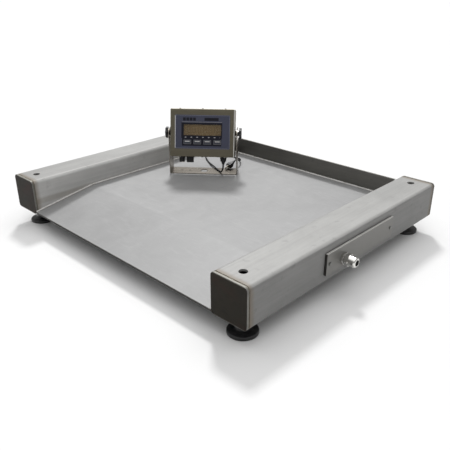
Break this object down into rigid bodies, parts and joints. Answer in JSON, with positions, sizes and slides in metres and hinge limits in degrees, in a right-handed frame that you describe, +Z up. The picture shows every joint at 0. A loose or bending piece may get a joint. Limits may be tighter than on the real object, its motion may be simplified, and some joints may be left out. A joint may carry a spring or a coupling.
{
  "type": "pallet scale",
  "caption": "Low floor scale for pallet trucks: two square side tubes on levelling feet, a ramped deck and stop wall between them, and an indicator on a tilting stand.",
  "frame": {"origin": "on the floor, under the middle of the overall footprint (side tubes and the cable gland together, without the free cord)", "axes": "+X across the tubes towards the cable gland, +Y from the ramp to the stop wall, +Z up"},
  "size_m": [1.2234, 0.978, 0.3693],
  "materials": {
    "tube_steel": "mill finish stainless, lightly brushed along the tube",
    "cap_steel": "ground stainless plate with weld tint at the edge",
    "deck_steel": "satin stainless plate",
    "cell_steel": "machined stainless",
    "fastener": "stainless fasteners",
    "cover_steel": "brushed stainless sheet",
    "gasket_rubber": "black rubber",
    "nickel": "bright nickel plate",
    "board": "circuit board and its parts",
    "cable_jacket": "black cable jacket",
    "foot_black": "black glass-filled nylon",
    "stem_zinc": "plated steel thread",
    "stand_steel": "bright satin stainless sheet",
    "case_steel": "brushed stainless sheet",
    "overlay_film": "printed blue-grey polyester film",
    "window_clear": "clear display window",
    "display_glass": "unlit amber display",
    "supply_case": "power supply parts",
    "key_film": "embossed grey key",
    "black_plastic": "black moulded plastic",
    "pin_brass": "plated plug blades"
  },
  "bodies": {
    "platform": {"left_tube": "tube_steel", "right_tube": "tube_steel", "end_cap_front_left": "cap_steel", "end_cap_front_right": "cap_steel", "end_cap_back_left": "cap_steel", "end_cap_back_right": "cap_steel", "deck_plate": "deck_steel", "back_wall": "deck_steel", "deck_ribs": "deck_steel", "cable_conduit": "deck_steel", "load_cell_front_left": "cell_steel", "load_cell_front_right": "cell_steel", "load_cell_back_left": "cell_steel", "load_cell_back_right": "cell_steel", "cell_spacers": "cell_steel", "cell_bolts": "fastener", "junction_cover": "cover_steel", "junction_gasket": "gasket_rubber", "junction_screws": "fastener", "gland_body": "nickel", "gland_nut": "nickel", "gland_seal": "gasket_rubber", "gland_locknut": "nickel", "summing_board": "board", "cell_cables": "cable_jacket"},
    "pad_front_left": {"foot_pad_front_left": "foot_black"},
    "stem_front_left": {"foot_stem_front_left": "stem_zinc"},
    "pad_front_right": {"foot_pad_front_right": "foot_black"},
    "stem_front_right": {"foot_stem_front_right": "stem_zinc"},
    "pad_back_left": {"foot_pad_back_left": "foot_black"},
    "stem_back_left": {"foot_stem_back_left": "stem_zinc"},
    "pad_back_right": {"foot_pad_back_right": "foot_black"},
    "stem_back_right": {"foot_stem_back_right": "stem_zinc"},
    "stand": {"stand_bracket": "stand_steel", "pivot_spacers": "gasket_rubber", "power_cord": "cable_jacket", "plug_lead": "cable_jacket", "cord_coil": "cable_jacket", "plug_body": "black_plastic", "plug_pins": "pin_brass"},
    "case": {"rear_housing": "case_steel", "front_cover": "case_steel", "housing_gasket": "gasket_rubber", "overlay": "overlay_film", "display_window": "window_clear", "display_module": "display_glass", "main_board": "board", "power_supply": "supply_case", "cover_screws": "fastener", "power_gland": "black_plastic", "blank_gland": "black_plastic", "sensor_connector": "black_plastic"},
    "key_1_body": {"key_1": "key_film"},
    "key_2_body": {"key_2": "key_film"},
    "key_3_body": {"key_3": "key_film"},
    "key_4_body": {"key_4": "key_film"},
    "washer_left": {"knob_washer_left": "fastener"},
    "knob_left_body": {"knob_left": "black_plastic"},
    "washer_right": {"knob_washer_right": "fastener"},
    "knob_right_body": {"knob_right": "black_plastic"}
  },
  "joints": [
    {"name": "foot_height_front_left", "type": "slide", "parent": "platform", "child": "pad_front_left", "axis": [0, 0, 1], "range_m": [-0.01, 0.01]},
    {"name": "foot_turn_front_left", "type": "hinge", "parent": "pad_front_left", "child": "stem_front_left", "pos_m": [-0.5482, -0.434, 0.017], "axis": [0, 0, 1], "range_deg": [-1805, 1805]},
    {"name": "foot_height_front_right", "type": "slide", "parent": "platform", "child": "pad_front_right", "axis": [0, 0, 1], "range_m": [-0.01, 0.01]},
    {"name": "foot_turn_front_right", "type": "hinge", "parent": "pad_front_right", "child": "stem_front_right", "pos_m": [0.4932, -0.434, 0.017], "axis": [0, 0, 1], "range_deg": [-1805, 1805]},
    {"name": "foot_height_back_left", "type": "slide", "parent": "platform", "child": "pad_back_left", "axis": [0, 0, 1], "range_m": [-0.01, 0.01]},
    {"name": "foot_turn_back_left", "type": "hinge", "parent": "pad_back_left", "child": "stem_back_left", "pos_m": [-0.5482, 0.434, 0.017], "axis": [0, 0, 1], "range_deg": [-1805, 1805]},
    {"name": "foot_height_back_right", "type": "slide", "parent": "platform", "child": "pad_back_right", "axis": [0, 0, 1], "range_m": [-0.01, 0.01]},
    {"name": "foot_turn_back_right", "type": "hinge", "parent": "pad_back_right", "child": "stem_back_right", "pos_m": [0.4932, 0.434, 0.017], "axis": [0, 0, 1], "range_deg": [-1805, 1805]},
    {"name": "indicator_lift", "type": "slide", "parent": "platform", "child": "stand", "axis": [0, 0, 1], "range_m": [0, 0.3]},
    {"name": "case_tilt", "type": "hinge", "parent": "stand", "child": "case", "pos_m": [-0.2805, 0.1665, 0.268], "axis": [0.7771, 0.6293, 0], "range_deg": [-30, 35], "deforming": ["power_cord"]},
    {"name": "key_1_press", "type": "slide", "parent": "case", "child": "key_1_body", "axis": [-0.6079, 0.7507, -0.2588], "range_m": [0, 0.0005], "stiffness_N_per_m": 2500},
    {"name": "key_2_press", "type": "slide", "parent": "case", "child": "key_2_body", "axis": [-0.6079, 0.7507, -0.2588], "range_m": [0, 0.0005], "stiffness_N_per_m": 2500},
    {"name": "key_3_press", "type": "slide", "parent": "case", "child": "key_3_body", "axis": [-0.6079, 0.7507, -0.2588], "range_m": [0, 0.0005], "stiffness_N_per_m": 2500},
    {"name": "key_4_press", "type": "slide", "parent": "case", "child": "key_4_body", "axis": [-0.6079, 0.7507, -0.2588], "range_m": [0, 0.0005], "stiffness_N_per_m": 2500},
    {"name": "washer_slide_left", "type": "slide", "parent": "case", "child": "washer_left", "axis": [-0.7771, -0.6293, 0], "range_m": [0, 0.0075]},
    {"name": "knob_turn_left", "type": "hinge", "parent": "washer_left", "child": "knob_left_body", "pos_m": [-0.3893, 0.0784, 0.268], "axis": [-0.7771, -0.6293, 0], "range_deg": [0, 2165]},
    {"name": "washer_slide_right", "type": "slide", "parent": "case", "child": "washer_right", "axis": [0.7771, 0.6293, 0], "range_m": [0, 0.0075]},
    {"name": "knob_turn_right", "type": "hinge", "parent": "washer_right", "child": "knob_right_body", "pos_m": [-0.1717, 0.25461, 0.268], "axis": [0.7771, 0.6293, 0], "range_deg": [0, 2165]}
  ],
  "couplings": [
    {"joint": "foot_turn_front_left", "follows": "foot_height_front_left", "rad_per_m": 3141.6},
    {"joint": "foot_turn_front_right", "follows": "foot_height_front_right", "rad_per_m": 3141.6},
    {"joint": "foot_turn_back_left", "follows": "foot_height_back_left", "rad_per_m": 3141.6},
    {"joint": "foot_turn_back_right", "follows": "foot_height_back_right", "rad_per_m": 3141.6},
    {"joint": "knob_turn_left", "follows": "washer_slide_left", "rad_per_m": 5026.5},
    {"joint": "knob_turn_right", "follows": "washer_slide_right", "rad_per_m": 5026.5}
  ]
}
